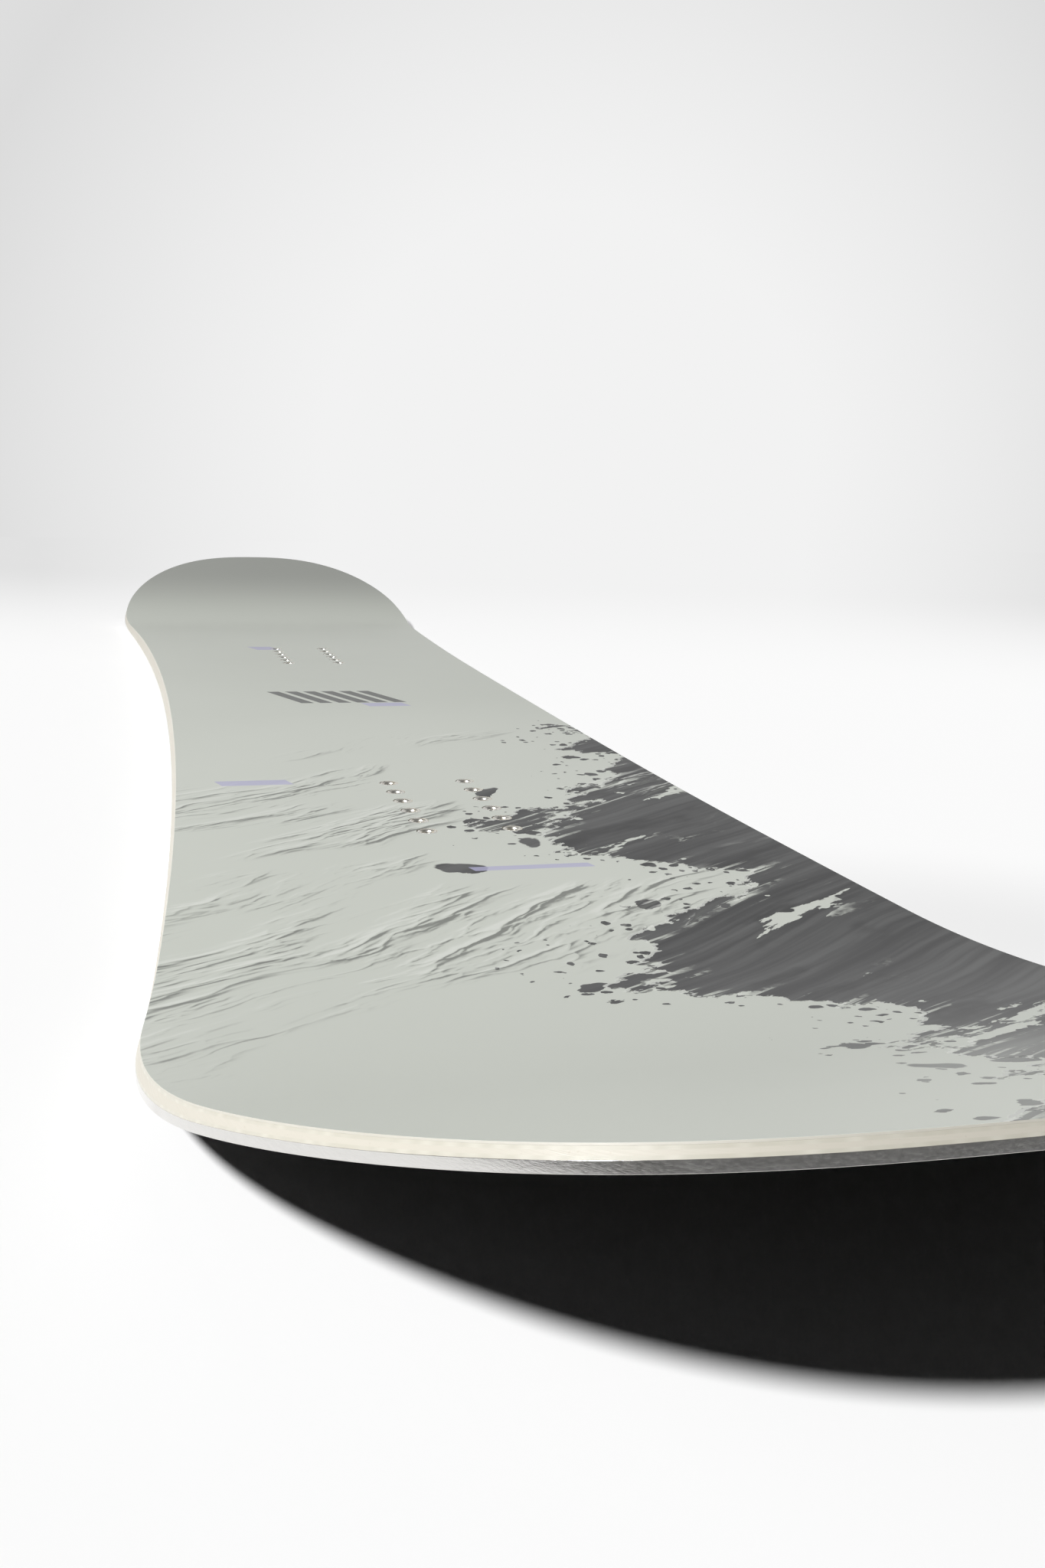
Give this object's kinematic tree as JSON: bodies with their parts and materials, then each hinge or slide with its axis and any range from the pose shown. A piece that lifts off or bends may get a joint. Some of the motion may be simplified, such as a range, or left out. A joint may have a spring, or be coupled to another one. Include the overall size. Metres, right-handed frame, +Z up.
{
  "type": "snowboard",
  "caption": "Directional all-mountain snowboard deck: sage topsheet with charcoal print, cream sidewalls, steel edges, black base and bare threaded insert packs.",
  "frame": {"origin": "midway between the nose tip and the tail tip, on the centre line, on the plane that the two contact lines of the base rest on", "axes": "+Y from the nose to the tail, +Z up out of the topsheet, +X to the right for someone who looks from the nose to the tail"},
  "size_m": [0.305, 1.57, 0.0708],
  "materials": {
    "topsheet_sage": "satin printed film, pale sage with charcoal brush strokes",
    "sidewall_cream": "cream sidewall plastic with a fine machined face",
    "base_black": "black sintered polyethylene, stone ground",
    "edge_steel": "ground edge steel",
    "insert_nickel": "nickel plated, slightly warm",
    "glass_laminate": "clear epoxy over woven glass fibre, pale green",
    "core_poplar": "planed poplar",
    "core_beech": "planed beech",
    "damping_rubber": "thin foil"
  },
  "bodies": {
    "root": {"topsheet": "topsheet_sage", "upper_laminate": "glass_laminate", "lower_laminate": "glass_laminate", "running_base": "base_black", "nose_spacer": "sidewall_cream", "tail_spacer": "sidewall_cream", "sidewall_left": "sidewall_cream", "sidewall_right": "sidewall_cream", "steel_edge_left": "edge_steel", "steel_edge_right": "edge_steel", "damping_strip_left": "damping_rubber", "damping_strip_right": "damping_rubber", "core_stringer_centre": "core_poplar", "core_stringer_hard_left": "core_beech", "core_stringer_hard_right": "core_beech", "core_stringer_field_left": "core_poplar", "core_stringer_field_right": "core_poplar", "core_stringer_outer_left": "core_poplar", "core_stringer_outer_right": "core_poplar", "insert_nose_left_1": "insert_nickel", "insert_nose_left_2": "insert_nickel", "insert_nose_left_3": "insert_nickel", "insert_nose_left_4": "insert_nickel", "insert_nose_left_5": "insert_nickel", "insert_nose_left_6": "insert_nickel", "insert_nose_right_1": "insert_nickel", "insert_nose_right_2": "insert_nickel", "insert_nose_right_3": "insert_nickel", "insert_nose_right_4": "insert_nickel", "insert_nose_right_5": "insert_nickel", "insert_nose_right_6": "insert_nickel", "insert_tail_left_1": "insert_nickel", "insert_tail_left_2": "insert_nickel", "insert_tail_left_3": "insert_nickel", "insert_tail_left_4": "insert_nickel", "insert_tail_left_5": "insert_nickel", "insert_tail_left_6": "insert_nickel", "insert_tail_right_1": "insert_nickel", "insert_tail_right_2": "insert_nickel", "insert_tail_right_3": "insert_nickel", "insert_tail_right_4": "insert_nickel", "insert_tail_right_5": "insert_nickel", "insert_tail_right_6": "insert_nickel"}
  },
  "joints": []
}
